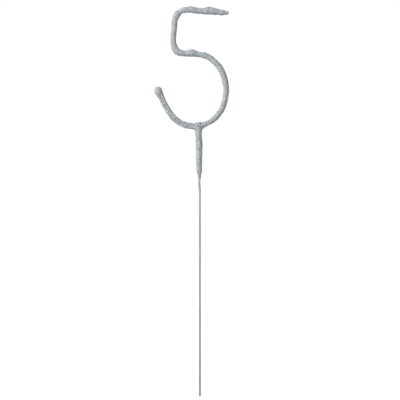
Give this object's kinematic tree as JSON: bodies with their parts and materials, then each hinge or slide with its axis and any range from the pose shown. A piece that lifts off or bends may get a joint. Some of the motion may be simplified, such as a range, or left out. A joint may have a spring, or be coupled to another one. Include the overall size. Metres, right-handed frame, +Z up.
{
  "type": "number sparkler candle",
  "caption": "Sparkler candle shaped as the figure five: bent steel wire dipped in grey sparkler composition, on a long bare wire stake.",
  "frame": {"origin": "middle of the wire's cut lower end", "axes": "+Z up along the straight stake, the figure in the XZ plane, front towards -Y, so that it reads from -Y with +X to its right"},
  "size_m": [0.0343, 0.0036, 0.1802],
  "materials": {
    "drawn_steel": "bare drawn steel wire, dull, slightly yellow-grey",
    "sparkler_composition": "dried grey paste of metal powder, gritty with fine bright specks"
  },
  "bodies": {
    "root": {"core_wire": "drawn_steel", "sparkler_coat": "sparkler_composition"}
  },
  "joints": []
}
